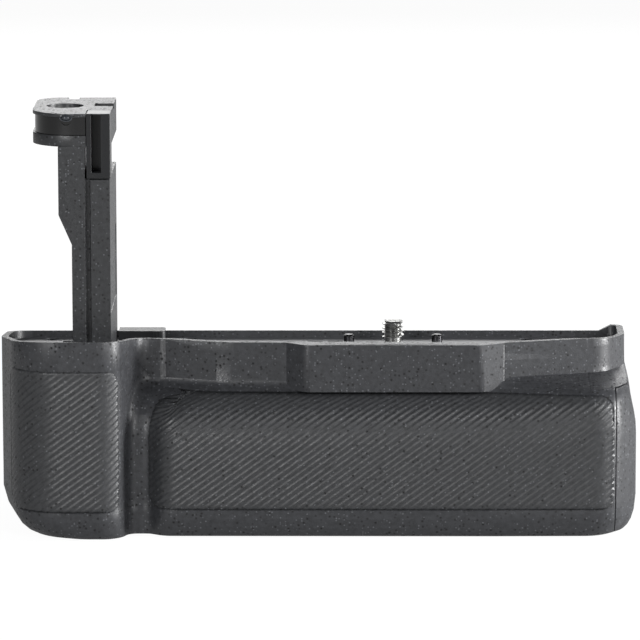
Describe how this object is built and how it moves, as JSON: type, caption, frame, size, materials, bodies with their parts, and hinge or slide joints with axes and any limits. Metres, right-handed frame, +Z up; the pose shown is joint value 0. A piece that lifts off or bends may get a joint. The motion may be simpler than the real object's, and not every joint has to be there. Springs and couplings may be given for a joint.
{
  "type": "camera battery grip",
  "caption": "Camera battery grip with a ribbed hand grip, a tall battery-bay stem, a thumb-wheel camera screw, and a sliding tray that holds two video battery packs.",
  "frame": {"origin": "middle of the bounding box in X and Y, at the bottom face", "axes": "+X along the grip towards the battery tray, -Y the front with the hand grip, +Z up to the camera"},
  "size_m": [0.1822, 0.0628, 0.1192],
  "materials": {
    "housing_plastic": "fine grained, carbon filled",
    "stem_plastic": "fine grained, carbon filled",
    "window_plastic": "glossy",
    "deck_plastic": "satin",
    "tray_plastic": "satin",
    "pack_plastic": "satin",
    "bright_steel": "bright plated",
    "dark_steel": "blackened",
    "wheel_metal": "black anodised",
    "brass": "plain",
    "contact_metal": "gold plated",
    "board_laminate": "satin",
    "component_black": "matte",
    "can_metal": "plain",
    "lead_rubber": "satin",
    "flex_film": "glossy"
  },
  "bodies": {
    "grip": {"main_housing": "housing_plastic", "end_frame": "housing_plastic", "base_plate": "deck_plastic", "base_screws": "dark_steel", "tripod_socket": "brass", "top_deck": "deck_plastic", "deck_ledge": "deck_plastic", "deck_screws": "dark_steel", "locating_pins": "dark_steel", "screw_bush": "bright_steel", "wave_washer": "bright_steel", "stem_frame": "stem_plastic", "stem_cover": "stem_plastic", "stem_screws": "dark_steel", "stem_head": "stem_plastic", "head_window": "window_plastic", "contact_cap": "stem_plastic", "stem_contacts": "contact_metal", "stem_flex": "flex_film", "contact_block": "component_black", "contact_blades": "contact_metal", "power_leads": "lead_rubber", "main_board": "board_laminate", "board_screws": "dark_steel", "board_coils": "component_black", "board_cans": "can_metal", "board_chips": "component_black", "board_plugs": "pack_plastic"},
    "wheel": {"thumb_wheel": "wheel_metal", "mount_screw": "bright_steel", "screw_clip": "dark_steel"},
    "tray": {"battery_tray": "tray_plastic", "tray_end_cap": "housing_plastic", "cap_screws": "dark_steel", "front_pack": "pack_plastic", "rear_pack": "pack_plastic"},
    "latch": {"latch_knob": "tray_plastic", "latch_bolt": "dark_steel", "latch_screw": "dark_steel"}
  },
  "joints": [
    {"name": "wheel_spin", "type": "hinge", "parent": "grip", "child": "wheel", "pos_m": [0.0211, 0.014, 0.0444], "axis": [0, 0, 1], "continuous": true},
    {"name": "tray_slide", "type": "slide", "parent": "grip", "child": "tray", "axis": [1, 0, 0], "range_m": [0, 0.074]},
    {"name": "latch_slide", "type": "slide", "parent": "tray", "child": "latch", "axis": [0, 0, 1], "range_m": [0, 0.003]}
  ]
}
